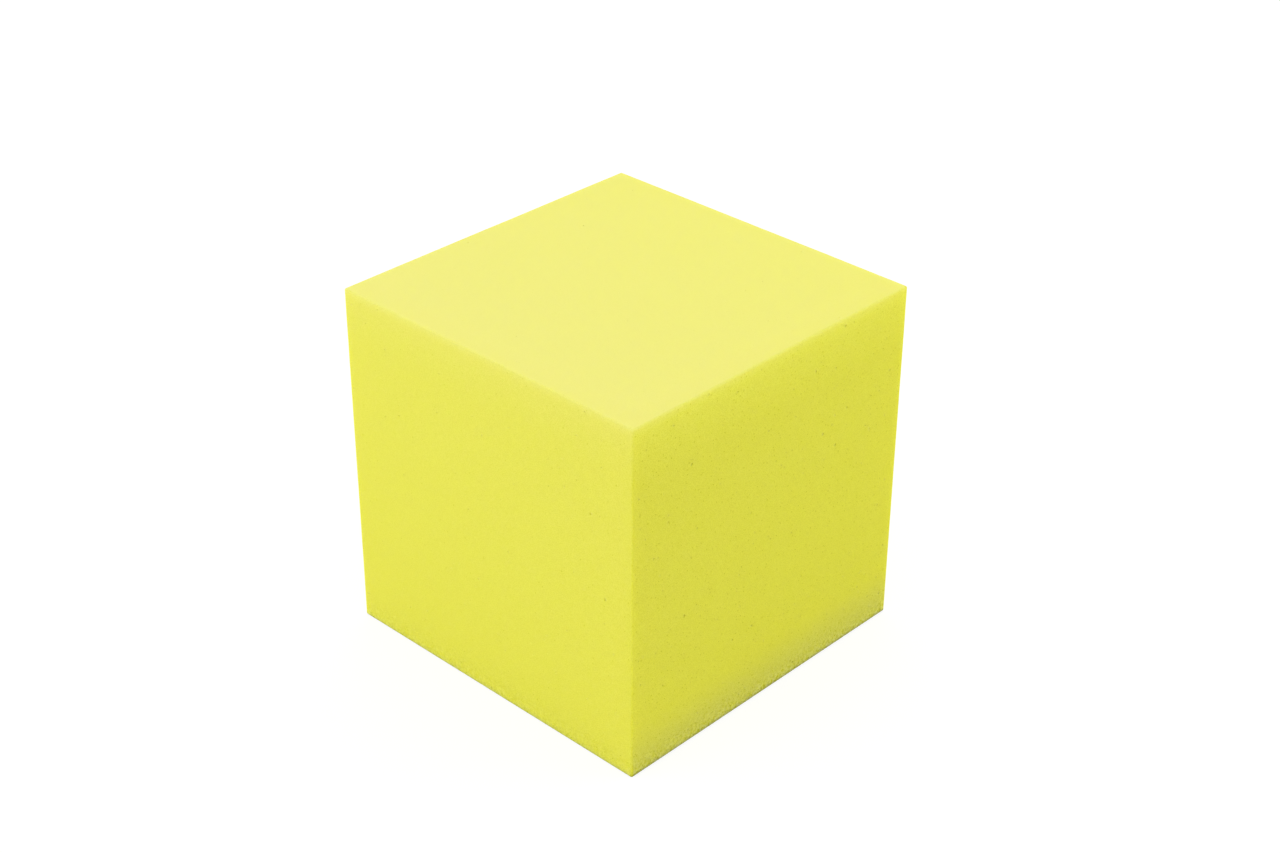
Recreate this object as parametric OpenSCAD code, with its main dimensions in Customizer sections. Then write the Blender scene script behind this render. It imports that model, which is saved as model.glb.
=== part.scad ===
// Cube-like block of soft open-cell foam, cut from a slab.
// It stands on its base: the origin is the middle of the base, +Z is up,
// +X is to the right and the front face looks along -Y.

/* [Block] */
// Width, between the left and right faces
block_w = 151.5; // [60:0.5:300]
// Depth, between the front and back faces
block_d = 150.5; // [60:0.5:300]
// Height, between the base and the top
block_h = 150; // [60:0.5:300]

/* [Edges] */
// Radius to which each cut edge and corner softens
edge_r = 0.8; // [0.4:0.1:20]

/* [Hidden] */

$fn = 64;

X = 0;
Y = 1;
Z = 2;
AXES = [X, Y, Z];
SIDES = [-1, 1];

// The whole block, and the core that every rounding is centred on
block = [block_w, block_d, block_h];
core = [for (axis = AXES) block[axis] - 2 * edge_r];

// Turns that lay an upright cylinder along X, Y or Z
LAID_ALONG = [[0, 90, 0], [90, 0, 0], [0, 0, 0]];

// One slab between each pair of opposite faces, as wide as their flat part
module face_slabs() {
    for (axis = AXES)
        cube([for (i = AXES) i == axis ? block[i] : core[i]], center = true);
}

// The four rounded edges that run along one axis
module edges_along(axis) {
    across = (axis + 1) % 3;
    for (near = SIDES, far = SIDES)
        translate([for (i = AXES) i == axis ? 0 : (i == across ? near : far) * core[i] / 2])
            rotate(LAID_ALONG[axis])
                cylinder(h = core[axis], r = edge_r, center = true);
}

// A ball in each corner, where three rounded edges run into each other
module corners() {
    for (x = SIDES, y = SIDES, z = SIDES)
        translate([x * core[X], y * core[Y], z * core[Z]] / 2)
            sphere(r = edge_r);
}

module foam_block() {
    color("#e6e35a")
        translate([0, 0, block_h / 2]) {
            face_slabs();
            for (axis = AXES)
                edges_along(axis);
            corners();
        }
}

foam_block();
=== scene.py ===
"""A soft yellow foam block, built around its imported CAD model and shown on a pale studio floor."""

import math
import random

import bmesh
import bpy
from bpy.props import FloatProperty, FloatVectorProperty, IntProperty, PointerProperty
from mathutils import Euler, Matrix, Vector, noise


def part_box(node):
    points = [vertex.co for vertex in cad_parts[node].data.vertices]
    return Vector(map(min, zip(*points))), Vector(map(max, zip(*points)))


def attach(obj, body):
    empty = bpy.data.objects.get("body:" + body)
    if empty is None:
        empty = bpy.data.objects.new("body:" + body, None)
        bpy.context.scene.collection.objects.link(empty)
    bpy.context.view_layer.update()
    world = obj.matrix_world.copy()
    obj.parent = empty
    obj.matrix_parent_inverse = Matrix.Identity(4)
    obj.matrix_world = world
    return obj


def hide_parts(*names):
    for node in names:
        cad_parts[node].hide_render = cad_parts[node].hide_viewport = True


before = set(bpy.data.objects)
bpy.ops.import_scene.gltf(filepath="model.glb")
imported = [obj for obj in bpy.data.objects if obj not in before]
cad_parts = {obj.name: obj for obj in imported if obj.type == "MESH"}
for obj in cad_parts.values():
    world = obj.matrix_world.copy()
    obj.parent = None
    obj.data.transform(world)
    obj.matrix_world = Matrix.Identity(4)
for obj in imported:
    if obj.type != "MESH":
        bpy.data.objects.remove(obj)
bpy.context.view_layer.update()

bl_info = {
    "name": "Foam Block",
    "version": (1, 0, 0),
    "blender": (4, 5, 0),
    "location": "View3D > Sidebar > Foam Block",
    "description": "Cuts a soft open-cell foam block with pinholes, and sets it on a pale studio floor",
    "category": "Add Mesh",
}

NODE = "foam_block"
BODY = "root"
LOW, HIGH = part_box(NODE)
SIZE = HIGH - LOW
MIDDLE = (LOW + HIGH) / 2
MM = 0.001

# The block's right, left, front, back, top and base: the axis that each face looks along, and which way
FACES = ((0, 1), (0, -1), (1, -1), (1, 1), (2, 1), (2, -1))

# Places of the pinholes
PINHOLE_THINNING = 1.5  # power of a face's coarseness that gives its share of the pinholes
PINHOLE_TRIES = 40  # places tried before a pinhole is left out
EDGE_GAP = 1.5  # least distance from a softened edge, in radii of the pinhole
PINHOLE_GAP = 1.4  # least distance between two middles, in sums of their radii
PATCHES_PER_METRE = 22  # how fine the pattern of crowded and bare patches is
SMALLEST_PINHOLE = 0.5  # width of the smallest pinhole, in widths of the largest small one

# Shapes of the pinholes
BUBBLE_SHAPES = 4  # hollows of each kind to choose from
FINE_BUBBLE = ("bubble", 2, 1)  # name, facets and first seed of the larger hollows
PLAIN_BUBBLE = ("small bubble", 1, 11)  # the same of the smaller hollows
BUBBLE_UNEVENNESS = 0.16  # how far a hollow's wall wanders, in radii
BUBBLE_RISE = (-0.15, 0.4)  # how far outside the face a hollow's middle lies, in radii
BUBBLE_STRETCH = (0.8, 1.15)  # size of a hollow along each of its axes, in radii

# Surface of the finished mesh
MERGE_REACH = 0.005 * MM  # points that are nearer than this merge
SHARP_ANGLE = math.radians(35)  # edges that turn by less than this are shaded smoothly

# Tones of the faces
FACE_BLEND = 1 * MM  # how far the tones of two faces blend across an edge
# The extra light from the top and the floor is painted light, and a dull face is one painted as lying in
# shade
DULL_LOSS = 0.5  # share of the extra light from the top and the floor that a fully dull face goes without
# The pale spill below the top is painted light
SPILL_FALL = 2.0  # power by which the pale spill fades below the top
GRIT_FALL = 3.0  # power by which the grit fades above the base
# The contact colour is a painted contact shadow
CONTACT_FALL = 3.0  # power by which the contact colour fades above the base
LIT_GRIT = 0.45  # share of the grit that a face without any dullness has

# Texture of the foam cells
WALL_START, WALL_FULL = 0.15, 0.75  # distances from a cell's middle, in cell sizes, of the rise to its wall
WALL_MEAN = 0.7  # level of that rise at which the tone stays as it is
NOISE_MEAN = 0.5
PINPRICK_RIM, PINPRICK_FLOOR = 0.2, 0.1  # distances from a pinprick's middle, in spacings, of its side
PINPRICK_RARITY = 3.0  # power that keeps most of the pinpricks faint
MOTTLE_HEIGHT = 0.6  # height of the blotches, in heights of the cell walls

# The cell texture's inputs that are the same all over the block, and the settings that give them
CELL_INPUTS = {
    "Cell Size": "cell_size",
    "Cell Contrast": "cell_contrast",
    "Mottle Size": "mottle_size",
    "Mottle Contrast": "mottle_contrast",
    "Grit Size": "grit_size",
    "Grit Contrast": "grit_contrast",
    "Grit Greyness": "grit_greyness",
    "Blue Depth": "blue_depth",
    "Pinprick Spacing": "pinprick_spacing",
    "Pinprick Contrast": "pinprick_contrast",
}

# The soft lamps: the setting that holds each one's power, its place and its width
LAMPS = (
    ("key", (-0.7, -1.4, 1.05), 1.4),
    ("back_left", (-0.75, 0.85, 0.8), 0.9),
    ("back_right", (0.8, 0.8, 0.9), 0.9),
)
SENSOR_WIDTH = 36
FLOOR_WIDTH = 6


def length_setting(name, description, default, low, high):
    """A distance."""
    return FloatProperty(
        name=name, description=description, default=default, min=low, max=high,
        subtype="DISTANCE", unit="LENGTH",
    )


def share_setting(name, description, default, high=1):
    """A share, or a strength."""
    return FloatProperty(
        name=name, description=description, default=default, min=0, max=high, subtype="FACTOR",
    )


def power_setting(name, description, default):
    """The power of a lamp."""
    return FloatProperty(name=name, description=description, default=default, min=0, unit="POWER")


def count_setting(name, description, default, low, high):
    """A whole number."""
    return IntProperty(name=name, description=description, default=default, min=low, max=high)


def axes_setting(name, description, default, low=0, high=1):
    """A value for each axis."""
    return FloatVectorProperty(
        name=name, description=description, size=3, default=default, min=low, max=high,
    )


def colour_setting(name, description, default):
    """A colour."""
    return FloatVectorProperty(
        name=name, description=description, subtype="COLOR", size=3, default=default, min=0, max=1,
    )


class FoamCutSettings(bpy.types.PropertyGroup):
    """Sizes of the cut block."""

    edge_radius: length_setting(
        "Edge Radius", "Radius to which the cut edges and corners soften", 0.8 * MM, 0.4 * MM, 20 * MM,
    )
    edge_segments: count_setting("Edge Segments", "Facets across each softened edge", 4, 2, 16)
    grid: count_setting(
        "Grid", "Squares along each side of a face, which let it be slightly uneven", 30, 4, 80,
    )
    unevenness: length_setting(
        "Unevenness", "How far the cut faces wander from flat", 0.16 * MM, 0, 1 * MM,
    )
    unevenness_size: length_setting(
        "Unevenness Size", "Width of one rise or hollow of a cut face", 35 * MM, 5 * MM, 200 * MM,
    )
    coarseness_right_back_top: axes_setting(
        "Coarseness, Right Back Top", "How coarse and pitted the cut is on these faces", (0.85, 0.7, 0.16),
    )
    coarseness_left_front_base: axes_setting(
        "Coarseness, Left Front Base", "How coarse and pitted the cut is on these faces", (0.8, 0.6, 0.5),
    )
    coarseness_drift: axes_setting(
        "Coarseness Drift", "Growth of the coarseness from one side of the block to the other",
        (0.45, -0.1, 0.0), low=-1,
    )
    coarse_band: length_setting(
        "Coarse Band", "How far above the base the cut is coarser", 18 * MM, 1 * MM, 100 * MM,
    )
    coarse_band_growth: FloatProperty(
        name="Coarse Band Growth", description="How much coarser the cut is in that band",
        default=0.6, min=0, max=2,
    )

    def coarseness(self, axis, way):
        """The coarseness of the face that looks this way along this axis."""
        return (self.coarseness_right_back_top if way > 0 else self.coarseness_left_front_base)[axis]

    def growth(self, spot):
        """How coarse the cut is at this spot, against the middle of its face outside the band."""
        drift = sum(
            grow * (spot[i] - MIDDLE[i]) / SIZE[i] for i, grow in enumerate(self.coarseness_drift)
        )
        band = self.coarse_band_growth * max(0.0, 1 - (spot.z - LOW.z) / self.coarse_band)
        return (1 + drift) * (1 + band)


class PinholeSettings(bpy.types.PropertyGroup):
    """The burst bubbles that the cut laid open."""

    seed: IntProperty(name="Seed", description="Picks another scatter of pinholes", default=7, min=0)
    large_count: count_setting("Large", "Large pinholes on the coarsest face", 32, 0, 200)
    large_size: length_setting(
        "Large Size", "Width of the largest pinhole", 1.3 * MM, 0.2 * MM, 5 * MM,
    )
    middle_count: count_setting("Middling", "Middling pinholes on the coarsest face", 160, 0, 600)
    middle_size: length_setting(
        "Middling Size", "Width of the largest middling pinhole", 0.85 * MM, 0.2 * MM, 5 * MM,
    )
    small_count: count_setting("Small", "Small pinholes on the coarsest face", 520, 0, 2000)
    small_size: length_setting(
        "Small Size", "Width of the largest small pinhole", 0.6 * MM, 0.1 * MM, 5 * MM,
    )


class FoamFinishSettings(bpy.types.PropertyGroup):
    """Colours and surface of the foam, with its painted light and shade."""

    body_colour: colour_setting("Body", "Colour of the cut faces", (0.86, 0.84, 0.0555))
    # Painted light: the pale colour paints the top, where the most light falls, lighter and paler
    painted_light_colour: colour_setting("Pale", "Paler colour that the top has", (0.905, 0.861, 0.207))
    # Painted shade: the dull colour darkens the sides just above the base, where less light reaches
    base_shade_colour: colour_setting("Dull", "Duller colour just above the base", (0.765, 0.755, 0.104))
    # Painted light: each face's share of the pale colour, most on the top and the lit front, and a drift that
    # paints it paler towards the front and the top
    painted_light_right_back_top: axes_setting(
        "Paleness, Right Back Top", "How much of the pale colour these faces have", (0.06, 0.12, 0.235),
    )
    painted_light_left_front_base: axes_setting(
        "Paleness, Left Front Base", "How much of the pale colour these faces have", (0.12, 0.17, 0.1),
    )
    painted_light_drift: axes_setting(
        "Paleness Drift", "Growth of the paleness from one side of the block to the other",
        (0.0, -1.0, 1.0), low=-2, high=2,
    )
    # Painted light: the spill and the rim paint the sides paler just below the top, where the top's light
    # shines through the foam
    painted_top_spill: share_setting("Pale Spill", "How much paler the sides are just below the top", 0.26)
    painted_top_spill_depth: length_setting(
        "Pale Spill Depth", "How far below the top the sides are paler", 25 * MM, 1 * MM, 100 * MM,
    )
    painted_top_rim: share_setting("Pale Rim", "How much paler again the sides are right beside the top", 0.25)
    painted_top_rim_depth: length_setting(
        "Pale Rim Depth", "How far down that paler rim reaches", 4 * MM, 0.5 * MM, 50 * MM,
    )
    shine_through: share_setting(
        "Shine Through", "How much lighter the dull faces are below the top, which is lit from above", 0.085,
    )
    floor_glow: share_setting(
        "Floor Glow", "How much lighter the sides are right above the floor, which lights them from below",
        0.13, high=0.15,
    )
    floor_glow_height: length_setting(
        "Floor Glow Height", "How far up that lighter band reaches", 6 * MM, 0.5 * MM, 50 * MM,
    )
    # Painted shade: how far up the dull colour reaches, and each face's share of it, most on the right face
    # that the lamps leave in shade and least on the lit front
    base_shade_band: length_setting(
        "Dull Band", "How far above the base the sides turn duller", 25 * MM, 0, 100 * MM,
    )
    base_shade_right_back_top: axes_setting(
        "Dullness, Right Back Top", "How much of the dull colour these faces have near the base",
        (1.0, 0.5, 0.0),
    )
    base_shade_left_front_base: axes_setting(
        "Dullness, Left Front Base", "How much of the dull colour these faces have near the base",
        (0.5, 0.08, 0.5),
    )
    edge_shade: share_setting(
        "Edge Shade", "How much darker the softened edges are than the faces", 0.06,
    )
    edge_reach: length_setting(
        "Edge Reach", "How far the darker tone of the edges reaches into the faces",
        12 * MM, 0.5 * MM, 50 * MM,
    )
    front_edge_shade: share_setting(
        "Front Edge Shade", "How much darker again the front face's top and right edges are", 0.017,
    )
    front_edge_reach: length_setting(
        "Front Edge Reach", "How far that shade reaches into the faces", 5 * MM, 0.5 * MM, 50 * MM,
    )
    # Painted shadow: the contact colour paints a dark contact shadow along the foot of the block, deepest on
    # the faces in shade
    contact_shadow_colour: colour_setting(
        "Contact", "Colour of the pressed edge that the block stands on", (0.07, 0.07, 0.13),
    )
    contact_height: length_setting(
        "Contact Height", "How far up the contact colour fades out", 3.3 * MM, 0.5 * MM, 20 * MM,
    )
    contact_share: share_setting(
        "Contact Share", "How much of the contact colour the pressed edge of a dull face has", 0.95,
    )
    contact_share_lit: share_setting(
        "Contact Share, Lit", "How much of the contact colour the pressed edge of a bright face has", 0.3,
    )
    # Painted shade: the foam inside the pinholes is painted darker
    pinhole_shade: share_setting(
        "Pinhole Shade", "How much darker the foam is inside a pinhole of a coarse face", 0.1,
    )
    cell_size: length_setting("Cell Size", "Width of one foam cell", 0.45 * MM, 0.1 * MM, 5 * MM)
    cell_contrast: share_setting(
        "Cell Contrast", "How much darker the cells are than the walls between them", 0.11,
    )
    grit_band: length_setting(
        "Grit Band", "How far above the base the cut is sandier", 20 * MM, 1 * MM, 60 * MM,
    )
    grit_size: length_setting(
        "Grit Size", "Width of the sandy grains near the base", 1.4 * MM, 0.2 * MM, 10 * MM,
    )
    grit_contrast: share_setting(
        "Grit Contrast", "Strength of the sandy grains at the base", 1.4, high=2,
    )
    grit_greyness: share_setting(
        "Grit Greyness", "How much the blue of the sandy grains varies by itself, against their tone",
        2.0, high=4,
    )
    blue_depth: share_setting(
        "Blue Depth", "How much deeper the grain is in the blue, which the yellow cells swallow",
        4.0, high=8,
    )
    mottle_size: length_setting(
        "Mottle Size", "Width of the soft blotches", 2.5 * MM, 0.5 * MM, 50 * MM,
    )
    mottle_contrast: share_setting("Mottle Contrast", "Strength of the soft blotches", 0.06)
    pinprick_spacing: length_setting(
        "Pinprick Spacing", "Usual distance between the tiniest open bubbles", 2 * MM, 0.5 * MM, 20 * MM,
    )
    pinprick_contrast: share_setting(
        "Pinprick Contrast", "How dark the darkest of the tiniest bubbles is", 0.2,
    )
    roughness: share_setting("Roughness", "Roughness of the cut faces", 0.92)
    glow_depth: length_setting("Glow Depth", "How deep light wanders into the foam", 6 * MM, 0, 50 * MM)
    glow: share_setting("Glow", "Share of the light that wanders inside the foam", 1.0)


class StudioSettings(bpy.types.PropertyGroup):
    """Camera, floor and lamps."""

    camera_place: FloatVectorProperty(
        name="Camera", description="Where the camera stands", subtype="XYZ", unit="LENGTH", size=3,
        default=(0.52135, -0.54112, 0.5303),
    )
    camera_turn: FloatVectorProperty(
        name="Camera Turn", description="How the camera is turned",
        subtype="EULER", unit="ROTATION", size=3,
        default=[math.radians(angle) for angle in (59.5612, -0.3066, 43.7033)],
    )
    lens: FloatProperty(
        name="Lens", description="Focal length on a 36 mm wide sensor, in millimetres",
        default=62.5, min=10, max=500,
    )
    sky: FloatProperty(
        name="Sky", description="Strength of the even white light all round", default=0.65, min=0,
    )
    key: power_setting("Key", "Power of the broad lamp in front", 11.3)
    back_left: power_setting("Back Left", "Power of the lamp behind on the left", 2.4)
    back_right: power_setting("Back Right", "Power of the lamp behind on the right", 4.4)
    floor_bounce: share_setting(
        "Floor Bounce", "How much light the floor sends back to the block", 0.82,
    )
    floor_white: share_setting(
        "Floor White", "How much of the floor's white the camera sees where no light falls", 0.84,
    )
    floor_shadow: share_setting(
        "Floor Shadow", "How much of the floor's white depends on the light that falls on it", 0.22,
    )


def only(*objects):
    """Selects these objects and nothing else, and makes the first one active."""
    bpy.ops.object.select_all(action="DESELECT")
    for thing in objects:
        thing.select_set(True)
    bpy.context.view_layer.objects.active = objects[0]


def faces_met(place, reach=1e-6):
    """The axes along which a place lies on the outside of the block."""
    return {i for i in range(3) if abs(abs(place[i] - MIDDLE[i]) - SIZE[i] / 2) < reach}


def cut_cuboid(name, cut):
    """The block as it is cut: a cuboid with a fine grid on its faces and softened edges and corners."""
    bpy.ops.object.select_all(action="DESELECT")
    bpy.ops.mesh.primitive_cube_add(size=1, location=MIDDLE, scale=SIZE)
    block = bpy.context.object
    block.name = block.data.name = name
    bpy.ops.object.transform_apply(location=True, rotation=True, scale=True)
    bpy.ops.object.mode_set(mode="EDIT")
    bpy.ops.mesh.select_all(action="SELECT")
    bpy.ops.mesh.subdivide(number_cuts=cut.grid - 1)
    bpy.ops.mesh.select_all(action="DESELECT")
    shape = bmesh.from_edit_mesh(block.data)
    for edge in shape.edges:
        ends = [faces_met(v.co) for v in edge.verts]
        edge.select_set(len(ends[0] & ends[1]) > 1)
    bmesh.update_edit_mesh(block.data)
    bpy.ops.mesh.bevel(
        offset=cut.edge_radius, segments=cut.edge_segments, profile=0.5, affect="EDGES",
    )
    bpy.ops.object.mode_set(mode="OBJECT")
    return block


def make_uneven(block, cut):
    """Lets the faces wander slightly from flat, all but the base that the block stands on."""
    group = block.vertex_groups.new(name="above the base")
    above = [v.index for v in block.data.vertices if v.co.z > LOW.z + cut.edge_radius]
    group.add(above, 1.0, "REPLACE")
    wander = bpy.data.textures.new("wander of the cut", "CLOUDS")
    wander.noise_scale = cut.unevenness_size
    wander.noise_depth = 2
    push = block.modifiers.new("wander", "DISPLACE")
    push.texture = wander
    push.texture_coords = "LOCAL"
    push.strength = cut.unevenness
    push.vertex_group = group.name
    only(block)
    bpy.ops.object.modifier_apply(modifier=push.name)


def burst_bubbles(name, facets, first_seed):
    """Hollows of unit radius to cut pinholes with: balls with irregular walls."""
    bubbles = []
    for i in range(BUBBLE_SHAPES):
        bpy.ops.object.select_all(action="DESELECT")
        bpy.ops.mesh.primitive_ico_sphere_add(subdivisions=facets, radius=1)
        bubble = bpy.context.object
        bubble.name = f"{name} {i}"
        bpy.ops.object.mode_set(mode="EDIT")
        bpy.ops.mesh.select_all(action="SELECT")
        bpy.ops.transform.vertex_random(
            offset=BUBBLE_UNEVENNESS, uniform=0, normal=0.5, seed=first_seed + i,
        )
        bpy.ops.object.mode_set(mode="OBJECT")
        bubbles.append(bubble)
    return bubbles


def pinhole_sizes(pin):
    """Radius of each pinhole on the coarsest face, the large ones first, and whether it is finely faceted."""
    rng = random.Random(pin.seed)
    kinds = [
        (pin.large_count, pin.middle_size, pin.large_size, True),
        (pin.middle_count, pin.small_size, pin.middle_size, True),
        (pin.small_count, SMALLEST_PINHOLE * pin.small_size, pin.small_size, False),
    ]
    return [
        (rng.uniform(small, large) / 2, fine)
        for count, small, large, fine in kinds
        for _ in range(count)
    ]


def scatter(pin, cut):
    """Places the pinholes: each one's middle, radius, whether it is finely faceted, and its face."""
    rng = random.Random(pin.seed + 1)
    placed = []
    for axis, way in FACES:
        across = [i for i in range(3) if i != axis]
        here = []
        for radius, fine in pinhole_sizes(pin):
            if rng.random() > cut.coarseness(axis, way) ** PINHOLE_THINNING:
                continue
            for _ in range(PINHOLE_TRIES):
                spot = Vector((0, 0, 0))
                spot[axis] = HIGH[axis] if way > 0 else LOW[axis]
                margin = cut.edge_radius + EDGE_GAP * radius
                for i in across:
                    spot[i] = rng.uniform(LOW[i] + margin, HIGH[i] - margin)
                crowd = cut.growth(spot) * (0.5 + 0.5 * noise.noise(spot * PATCHES_PER_METRE))
                clear = all((spot - other).length > PINHOLE_GAP * (radius + wide) for other, wide in here)
                if clear and rng.random() < crowd:
                    here.append((spot, radius))
                    placed.append((spot, radius, fine, axis, way))
                    break
    return placed


def open_pinholes(block, pin, cut):
    """Cuts the scattered pinholes out of the faces, and gives their walls the block's second material."""
    rng = random.Random(pin.seed + 2)
    fine_bubbles, plain_bubbles = burst_bubbles(*FINE_BUBBLE), burst_bubbles(*PLAIN_BUBBLE)
    hollows = []
    for spot, radius, fine, axis, way in scatter(pin, cut):
        bubble = rng.choice(fine_bubbles if fine else plain_bubbles)
        middle = spot.copy()
        middle[axis] += way * radius * rng.uniform(*BUBBLE_RISE)
        turn = Euler([rng.uniform(0, math.tau) for _ in range(3)]).to_matrix().to_4x4()
        stretch = Matrix.Diagonal([radius * rng.uniform(*BUBBLE_STRETCH) for _ in range(3)] + [1])
        hollow = bpy.data.objects.new("hollow", bubble.data.copy())
        hollow.data.transform(Matrix.Translation(middle) @ turn @ stretch)
        bpy.context.collection.objects.link(hollow)
        hollows.append(hollow)
    only(*hollows)
    bpy.ops.object.join()
    cutter = bpy.context.object
    cutter.data.materials.clear()
    for material in block.data.materials:
        cutter.data.materials.append(material)
    cutter.data.polygons.foreach_set("material_index", [1] * len(cutter.data.polygons))
    pierce = block.modifiers.new("pinholes", "BOOLEAN")
    pierce.operation = "DIFFERENCE"
    pierce.solver = "MANIFOLD"
    pierce.object = cutter
    only(block)
    bpy.ops.object.modifier_apply(modifier=pierce.name)
    for spent in [cutter, *fine_bubbles, *plain_bubbles]:
        bpy.data.objects.remove(spent)


def smooth_surface(block):
    """Merges the slivers that the cutting left, and shades the block smoothly with its faces kept flat."""
    only(block)
    bpy.ops.object.mode_set(mode="EDIT")
    bpy.ops.mesh.select_all(action="SELECT")
    # A face with many corners would fold over itself where two of them merge, so it is split first
    bpy.ops.mesh.quads_convert_to_tris(quad_method="BEAUTY", ngon_method="BEAUTY")
    bpy.ops.mesh.remove_doubles(threshold=MERGE_REACH)
    bpy.ops.object.mode_set(mode="OBJECT")
    bpy.ops.object.shade_smooth_by_angle(angle=SHARP_ANGLE)
    flatten = block.modifiers.new("flat faces", "WEIGHTED_NORMAL")
    flatten.mode = "FACE_AREA"
    flatten.keep_sharp = True
    bpy.ops.object.modifier_apply(modifier=flatten.name)


def lay_out_faces(block):
    """A map of the block's six faces side by side, each with the walls of its own pinholes."""
    mesh = block.data
    layer = mesh.uv_layers.new(name="OFBake")
    columns, rows, gap = 3, 2, 0.01
    for face in mesh.polygons:
        out = [(face.center[i] - MIDDLE[i]) / (SIZE[i] / 2) for i in range(3)]
        axis = max(range(3), key=lambda i: abs(out[i]))
        cell = FACES.index((axis, 1 if out[axis] > 0 else -1))
        u_axis, v_axis = [i for i in range(3) if i != axis]
        for corner in face.loop_indices:
            place = mesh.vertices[mesh.loops[corner].vertex_index].co
            u = gap + (1 - 2 * gap) * (place[u_axis] - LOW[u_axis]) / SIZE[u_axis]
            v = gap + (1 - 2 * gap) * (place[v_axis] - LOW[v_axis]) / SIZE[v_axis]
            layer.data[corner].uv = ((cell % columns + u) / columns, (cell // columns + v) / rows)


def group_of(name, inputs, outputs):
    """An empty shader node group, with the sockets that its own nodes read from and write to.

    inputs gives each name its default, a number or None for a vector; outputs names the numbers put out.
    """
    tree = bpy.data.node_groups.new(name, "ShaderNodeTree")
    for label, default in inputs.items():
        kind = "NodeSocketVector" if default is None else "NodeSocketFloat"
        socket = tree.interface.new_socket(label, in_out="INPUT", socket_type=kind)
        if default is not None:
            socket.default_value = default
    for label in outputs:
        tree.interface.new_socket(label, in_out="OUTPUT", socket_type="NodeSocketFloat")
    return tree, tree.nodes.new("NodeGroupInput").outputs, tree.nodes.new("NodeGroupOutput").inputs


def feed(tree, socket, value):
    """Gives a socket its value: another socket's, or a plain one."""
    if isinstance(value, bpy.types.NodeSocket):
        tree.links.new(value, socket)
    else:
        socket.default_value = value


def math_node(tree, operation, *values, clamp=False):
    """A Math node; each value is a number or a socket."""
    node = tree.nodes.new("ShaderNodeMath")
    node.operation = operation
    node.use_clamp = clamp
    for socket, value in zip(node.inputs, values):
        feed(tree, socket, value)
    return node.outputs[0]


def dot(tree, first, second):
    """The dot product of two vectors."""
    node = tree.nodes.new("ShaderNodeVectorMath")
    node.operation = "DOT_PRODUCT"
    feed(tree, node.inputs[0], first)
    feed(tree, node.inputs[1], second)
    return node.outputs["Value"]


def ramp(tree, value, start, end, smooth=True):
    """A ramp from 0 where value is start to 1 where it is end."""
    node = tree.nodes.new("ShaderNodeMapRange")
    node.interpolation_type = "SMOOTHSTEP" if smooth else "LINEAR"
    for label, given in (("Value", value), ("From Min", start), ("From Max", end)):
        feed(tree, node.inputs[label], given)
    return node.outputs["Result"]


def vector_ramp(tree, value, start, end):
    """A straight ramp of its own along each axis, from 0 where value is start to 1 where it is end."""
    node = tree.nodes.new("ShaderNodeMapRange")
    node.data_type = "FLOAT_VECTOR"
    sockets = {socket.identifier: socket for socket in node.inputs}
    for label, given in (("Vector", value), ("From_Min_FLOAT3", start), ("From_Max_FLOAT3", end)):
        feed(tree, sockets[label], given)
    return node.outputs["Vector"]


def split_colour(tree, colour):
    """The red, green and blue of a colour socket."""
    node = tree.nodes.new("ShaderNodeSeparateColor")
    tree.links.new(colour, node.inputs[0])
    return node.outputs[:3]


def mixed(tree, share, first, second, blend="MIX"):
    """A colour Mix node; share is a number or a socket, and each colour is three numbers or a socket."""
    node = tree.nodes.new("ShaderNodeMix")
    node.data_type = "RGBA"
    node.blend_type = blend
    feed(tree, node.inputs[0], share)
    for socket, given in ((node.inputs[6], first), (node.inputs[7], second)):
        feed(tree, socket, given if isinstance(given, bpy.types.NodeSocket) else (*given, 1))
    return node.outputs[2]


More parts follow.
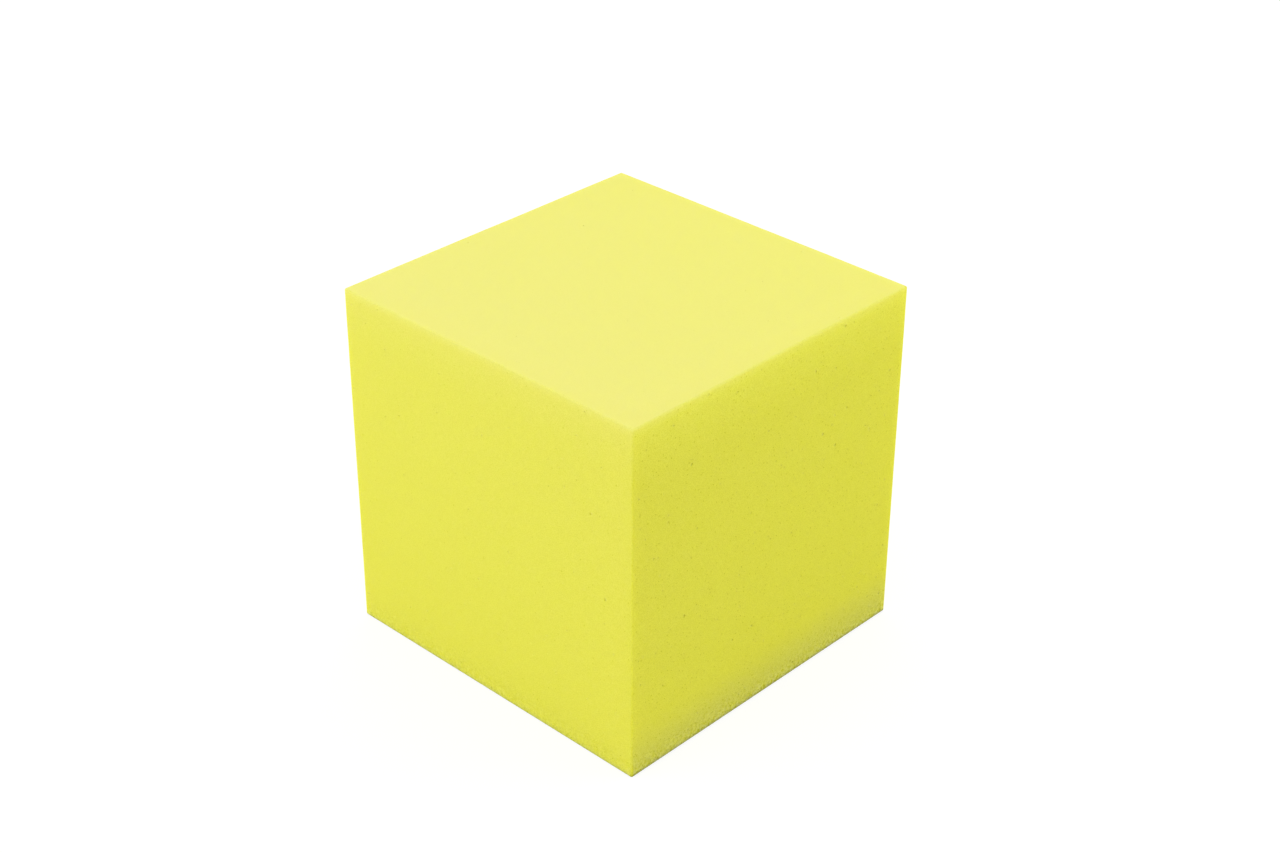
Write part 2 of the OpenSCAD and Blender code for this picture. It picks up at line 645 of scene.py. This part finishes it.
def face_tone_group(cut, finish):
    """How coarse and gritty the foam is at a place, and its painted light and shade there: paler as painted
    light, duller near the base as painted shade, lighter or darker as painted light and shade, and the
    painted contact shadow.
    """
    tree, given, out = group_of(
        "Face tone", {"Place": None}, ("Coarseness", "Grit", "Paleness", "Dullness", "Light", "Contact"),
    )
    place = given["Place"]
    split = tree.nodes.new("ShaderNodeSeparateXYZ")
    tree.links.new(place, split.inputs[0])
    height = split.outputs["Z"]

    def maths(operation, *values, clamp=False):
        return math_node(tree, operation, *values, clamp=clamp)

    def below_top(reach, smooth=True):
        """1 at the top, 0 further down than reach."""
        return ramp(tree, height, HIGH.z - reach, HIGH.z, smooth=smooth)

    def above_base(reach, smooth=True):
        """1 at the base, 0 further up than reach."""
        return ramp(tree, height, LOW.z + reach, LOW.z, smooth=smooth)

    def nearness(reach):
        """Along each axis, for the face that looks up it and for the other: 1 on it, 0 past reach."""
        depth = Vector((reach,) * 3)
        return vector_ramp(tree, place, HIGH - depth, HIGH), vector_ramp(tree, place, LOW + depth, LOW)

    def faces_here(near, base):
        """How many faces are near, with the base counted this much."""
        return maths("ADD", dot(tree, near[0], (1, 1, 1)), dot(tree, near[1], (1, 1, base)))

    near = nearness(FACE_BLEND)
    whole = faces_here(near, 1)

    def by_face(*values):
        """The value of the face that is near, out of those for right, back, top and left, front, base."""
        parts = [dot(tree, share, value) for share, value in zip(near, values)]
        return maths("DIVIDE", maths("ADD", *parts), whole)

    def drifting(growth):
        """1 in the middle of the block, and grown by these shares from one side to the other."""
        slope = Vector([grow / side for grow, side in zip(growth, SIZE)])
        return maths("ADD", dot(tree, place, slope), 1 - slope.dot(MIDDLE))

    coarse = by_face(cut.coarseness_right_back_top, cut.coarseness_left_front_base)
    coarse = maths("MULTIPLY", coarse, drifting(cut.coarseness_drift))
    band = maths("MULTIPLY_ADD", above_base(cut.coarse_band, smooth=False), cut.coarse_band_growth, 1.0)
    tree.links.new(maths("MULTIPLY", coarse, band), out["Coarseness"])

    # Painted shade: how much a face is painted as lying in shade, which darkens it above the base, weakens
    # its painted light, and sets its share of grit and of the painted contact shadow
    dull = by_face(finish.base_shade_right_back_top, finish.base_shade_left_front_base)
    tree.links.new(maths("MULTIPLY", dull, above_base(finish.base_shade_band)), out["Dullness"])

    def dimmed(amount):
        """This much, or less where the face is dull."""
        return maths("MULTIPLY_ADD", dull, -DULL_LOSS * amount, amount)

    sandy = maths("POWER", above_base(finish.grit_band, smooth=False), GRIT_FALL)
    share = maths("MULTIPLY_ADD", dull, 1 - LIT_GRIT, LIT_GRIT)
    tree.links.new(maths("MULTIPLY", sandy, share), out["Grit"])

    # Painted light: paler on the top and the lit faces, and on the sides just below the top
    top_light = below_top(finish.painted_top_spill_depth, smooth=False)
    spill = maths("MULTIPLY", maths("POWER", top_light, SPILL_FALL), dimmed(finish.painted_top_spill))
    pale = by_face(finish.painted_light_right_back_top, finish.painted_light_left_front_base)
    pale = maths("MULTIPLY_ADD", pale, drifting(finish.painted_light_drift), spill)
    pale = maths("MULTIPLY_ADD", below_top(finish.painted_top_rim_depth), finish.painted_top_rim, pale)
    tree.links.new(maths("MINIMUM", pale, 1.0), out["Paleness"])

    # One face is near on a flat and two are at an edge; the narrow shade is whole halfway between
    narrow = ramp(tree, faces_here(near, 0), 1.0, 1.5)
    wide = ramp(tree, faces_here(nearness(finish.edge_reach), 0), 1.0, 2.0)
    light = maths("MULTIPLY_ADD", maths("ADD", narrow, wide), -finish.edge_shade / 2, 1.0)
    upper, lower = nearness(finish.front_edge_reach)
    beside = maths("MULTIPLY", dot(tree, lower, (0, 1, 0)), dot(tree, upper, (1, 0, 1)), clamp=True)
    light = maths("MULTIPLY_ADD", beside, -finish.front_edge_shade, light)
    light = maths("MULTIPLY_ADD", maths("MULTIPLY", dull, top_light), finish.shine_through, light)
    floor_light = above_base(finish.floor_glow_height)
    light = maths("MULTIPLY_ADD", floor_light, dimmed(finish.floor_glow), light)
    tree.links.new(light, out["Light"])

    # Painted shadow: the contact shadow along the foot, strongest on the faces in shade
    shadowed = maths("POWER", above_base(finish.contact_height, smooth=False), CONTACT_FALL)
    lit_share = finish.contact_share_lit
    strength = maths("MULTIPLY_ADD", dull, finish.contact_share - lit_share, lit_share)
    tree.links.new(maths("MULTIPLY", shadowed, strength), out["Contact"])
    return tree


def open_cells_group(finish):
    """Foam cells: tones near 1 with fine cells, soft blotches, sand and sparse pinpricks, and a height."""
    everywhere = {label: getattr(finish, setting) for label, setting in CELL_INPUTS.items()}
    tree, given, out = group_of(
        "Open cells", {"Place": None, "Coarseness": 1.0, "Grit": 0.0, **everywhere},
        ("Tone", "Blue Tone", "Height"),
    )

    def maths(operation, *values):
        return math_node(tree, operation, *values)

    def texture(kind, size, **values):
        node = tree.nodes.new(kind)
        tree.links.new(given["Place"], node.inputs["Vector"])
        tree.links.new(maths("DIVIDE", 1.0, given[size]), node.inputs["Scale"])
        for label, value in values.items():
            node.inputs[label].default_value = value
        return node.outputs

    wall = ramp(tree, texture("ShaderNodeTexVoronoi", "Cell Size")["Distance"], WALL_START, WALL_FULL)
    mottle = texture("ShaderNodeTexNoise", "Mottle Size", Detail=3, Roughness=0.6)["Fac"]
    bubble = texture("ShaderNodeTexVoronoi", "Pinprick Spacing")
    mouth = ramp(tree, bubble["Distance"], PINPRICK_RIM, PINPRICK_FLOOR)
    chance = split_colour(tree, bubble["Color"])[0]
    pinprick = maths("MULTIPLY", mouth, maths("POWER", chance, PINPRICK_RARITY))
    sand = texture("ShaderNodeTexNoise", "Grit Size", Detail=2, Roughness=0.7)["Color"]
    sand_tone, _, sand_blue = split_colour(tree, sand)

    grain = maths("MULTIPLY", maths("SUBTRACT", wall, WALL_MEAN), given["Cell Contrast"])
    blotch = maths("SUBTRACT", mottle, NOISE_MEAN)
    grain = maths("MULTIPLY_ADD", blotch, given["Mottle Contrast"], grain)
    grain = maths("SUBTRACT", grain, maths("MULTIPLY", pinprick, given["Pinprick Contrast"]))
    depth = maths("MULTIPLY", given["Grit"], given["Grit Contrast"])
    grit = maths("MULTIPLY", maths("SUBTRACT", sand_tone, NOISE_MEAN), depth)
    tone = maths("ADD", maths("MULTIPLY_ADD", grain, given["Coarseness"], 1.0), grit)
    tree.links.new(tone, out["Tone"])

    blue = maths("MULTIPLY_ADD", maths("SUBTRACT", tone, 1.0), given["Blue Depth"], 1.0)
    own_depth = maths("MULTIPLY", depth, given["Grit Greyness"])
    blue = maths("MULTIPLY_ADD", maths("SUBTRACT", sand_blue, NOISE_MEAN), own_depth, blue)
    tree.links.new(maths("MAXIMUM", blue, 0.0), out["Blue Tone"])

    height = maths("SUBTRACT", maths("MULTIPLY_ADD", mottle, MOTTLE_HEIGHT, wall), mouth)
    tree.links.new(maths("MULTIPLY", height, given["Coarseness"]), out["Height"])
    return tree


def foam_material(name, finish, groups, shade):
    """The foam's finish: paler at the top as painted light, duller at the base as painted shade, and with
    this much painted shade darker where coarse.
    """
    material = bpy.data.materials.new(name)
    material.use_nodes = True
    tree = material.node_tree
    shader = tree.nodes["Principled BSDF"]
    place = tree.nodes.new("ShaderNodeTexCoord").outputs["Object"]
    face = tree.nodes.new("ShaderNodeGroup")
    face.node_tree = groups["face"]
    tree.links.new(place, face.inputs["Place"])
    cells = tree.nodes.new("ShaderNodeGroup")
    cells.node_tree = groups["cells"]
    tree.links.new(place, cells.inputs["Place"])
    for label in ("Coarseness", "Grit"):
        tree.links.new(face.outputs[label], cells.inputs[label])
    for label, setting in CELL_INPUTS.items():
        cells.inputs[label].default_value = getattr(finish, setting)

    # Painted light and shade: the pale colour, the dull colour near the base and the contact shadow
    colour = mixed(tree, face.outputs["Paleness"], finish.body_colour, finish.painted_light_colour)
    colour = mixed(tree, face.outputs["Dullness"], colour, finish.base_shade_colour)
    colour = mixed(tree, face.outputs["Contact"], colour, finish.contact_shadow_colour)
    light = face.outputs["Light"]
    # Painted shade: the pinhole walls are painted darker where the face is coarse
    if shade:
        dark = math_node(tree, "MULTIPLY_ADD", face.outputs["Coarseness"], -shade, 1.0)
        light = math_node(tree, "MULTIPLY", light, dark)
    tones = tree.nodes.new("ShaderNodeCombineColor")
    for socket, label in zip(tones.inputs, ("Tone", "Tone", "Blue Tone")):
        tree.links.new(math_node(tree, "MULTIPLY", cells.outputs[label], light), socket)
    colour = mixed(tree, 1.0, colour, tones.outputs[0], blend="MULTIPLY")
    tree.links.new(colour, shader.inputs["Base Color"])

    bump = tree.nodes.new("ShaderNodeBump")
    bump.inputs["Strength"].default_value = 0.5
    bump.inputs["Distance"].default_value = 0.15 * MM
    tree.links.new(cells.outputs["Height"], bump.inputs["Height"])
    tree.links.new(bump.outputs["Normal"], shader.inputs["Normal"])
    for label, value in (
        ("Roughness", finish.roughness),
        ("Specular IOR Level", 0.15),
        ("Sheen Weight", 0.05),
        ("Sheen Roughness", 0.6),
        ("Subsurface Weight", finish.glow),
        ("Subsurface Scale", finish.glow_depth),
        ("Subsurface Radius", (1.0, 0.95, 0.45)),
    ):
        shader.inputs[label].default_value = value
    return material


class FOAMBLOCK_OT_cut_block(bpy.types.Operator):
    """Cut the foam block, soften its edges, open its pinholes and give it its finish"""

    bl_idname = "foam_block.cut_block"
    bl_label = "Cut Foam Block"
    bl_options = {"REGISTER", "UNDO"}

    def execute(self, context):
        scene = context.scene
        cut, pin, finish = scene.foam_cut, scene.foam_pinholes, scene.foam_finish
        groups = {"face": face_tone_group(cut, finish), "cells": open_cells_group(finish)}
        block = cut_cuboid("softened_foam_block", cut)
        make_uneven(block, cut)
        for name, shade in (("Cut foam", 0.0), ("Pinhole foam", finish.pinhole_shade)):
            block.data.materials.append(foam_material(name, finish, groups, shade))
        open_pinholes(block, pin, cut)
        smooth_surface(block)
        lay_out_faces(block)
        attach(block, BODY)
        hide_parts(NODE)
        return {"FINISHED"}


def area_lamp(name, place, size, power):
    """A square soft lamp that faces the middle of the block."""
    bpy.ops.object.select_all(action="DESELECT")
    bpy.ops.object.light_add(type="AREA", location=place)
    lamp = bpy.context.object
    lamp.name = lamp.data.name = name
    lamp.data.size = size
    lamp.data.energy = power
    lamp.rotation_euler = (Vector(place) - MIDDLE).to_track_quat("Z", "Y").to_euler()
    return lamp


def seen_straight(tree):
    """1 where the camera, or a clear or glossy surface, looks at this; 0 where it lights other things."""
    path = tree.nodes.new("ShaderNodeLightPath")
    seen = math_node(tree, "MAXIMUM", path.outputs["Is Camera Ray"], path.outputs["Is Glossy Ray"])
    return math_node(tree, "MAXIMUM", seen, path.outputs["Is Transmission Ray"])


def floor_material(studio):
    """White to the camera apart from a faint shadow, and as bright to the block as its bounce says."""
    paint = bpy.data.materials.new("Pale floor")
    paint.use_nodes = True
    tree = paint.node_tree
    tree.nodes.clear()
    seen = seen_straight(tree)
    lit = tree.nodes.new("ShaderNodeBsdfDiffuse")
    colour = mixed(tree, seen, (studio.floor_bounce,) * 3, (studio.floor_shadow,) * 3)
    tree.links.new(colour, lit.inputs["Color"])
    white = tree.nodes.new("ShaderNodeEmission")
    tree.links.new(math_node(tree, "MULTIPLY", seen, studio.floor_white), white.inputs["Strength"])
    both = tree.nodes.new("ShaderNodeAddShader")
    tree.links.new(lit.outputs[0], both.inputs[0])
    tree.links.new(white.outputs[0], both.inputs[1])
    out = tree.nodes.new("ShaderNodeOutputMaterial")
    tree.links.new(both.outputs[0], out.inputs["Surface"])
    return paint


def white_world(studio):
    """Surroundings that light the block evenly, and that the camera sees as plain white."""
    world = bpy.data.worlds.new("White surroundings")
    world.use_nodes = True
    tree = world.node_tree
    tree.nodes.clear()
    even = tree.nodes.new("ShaderNodeBackground")
    colour = mixed(tree, seen_straight(tree), (studio.sky,) * 3, (1.0, 1.0, 1.0))
    tree.links.new(colour, even.inputs["Color"])
    out = tree.nodes.new("ShaderNodeOutputWorld")
    tree.links.new(even.outputs[0], out.inputs["Surface"])
    return world


class FOAMBLOCK_OT_set_stage(bpy.types.Operator):
    """Set the camera, the pale floor, the white surroundings and the soft lamps"""

    bl_idname = "foam_block.set_stage"
    bl_label = "Set Stage"
    bl_options = {"REGISTER", "UNDO"}

    def execute(self, context):
        scene = context.scene
        studio = scene.foam_studio
        bpy.ops.object.select_all(action="DESELECT")
        bpy.ops.object.camera_add(location=studio.camera_place, rotation=studio.camera_turn)
        camera = bpy.context.object
        camera.name = "camera"
        camera.data.lens = studio.lens
        camera.data.sensor_fit = "HORIZONTAL"
        camera.data.sensor_width = SENSOR_WIDTH
        scene.camera = camera
        scene.view_settings.view_transform = "Standard"

        bpy.ops.object.select_all(action="DESELECT")
        bpy.ops.mesh.primitive_plane_add(size=FLOOR_WIDTH, location=(0, 0, LOW.z))
        floor = bpy.context.object
        floor.name = "floor"
        floor.data.materials.append(floor_material(studio))

        scene.world = white_world(studio)
        for setting, place, size in LAMPS:
            area_lamp(setting.replace("_", " "), place, size, getattr(studio, setting))
        return {"FINISHED"}


class FOAMBLOCK_PT_panel(bpy.types.Panel):
    """Foam block in the 3D view's sidebar"""

    bl_idname = "FOAMBLOCK_PT_panel"
    bl_label = "Foam Block"
    bl_space_type = "VIEW_3D"
    bl_region_type = "UI"
    bl_category = "Foam Block"

    def draw(self, context):
        for name in SETTINGS:
            settings = getattr(context.scene, name)
            box = self.layout.box()
            for prop in settings.__annotations__:
                box.prop(settings, prop)
        for operator in (FOAMBLOCK_OT_set_stage, FOAMBLOCK_OT_cut_block):
            self.layout.operator(operator.bl_idname)


SETTINGS = {
    "foam_cut": FoamCutSettings,
    "foam_pinholes": PinholeSettings,
    "foam_finish": FoamFinishSettings,
    "foam_studio": StudioSettings,
}
CLASSES = (*SETTINGS.values(), FOAMBLOCK_OT_set_stage, FOAMBLOCK_OT_cut_block, FOAMBLOCK_PT_panel)


def register():
    for cls in CLASSES:
        bpy.utils.register_class(cls)
    for name, cls in SETTINGS.items():
        setattr(bpy.types.Scene, name, PointerProperty(type=cls))


def unregister():
    for name in SETTINGS:
        delattr(bpy.types.Scene, name)
    for cls in reversed(CLASSES):
        bpy.utils.unregister_class(cls)


def main():
    register()
    bpy.ops.foam_block.set_stage()
    bpy.ops.foam_block.cut_block()


if __name__ == "__main__":
    main()
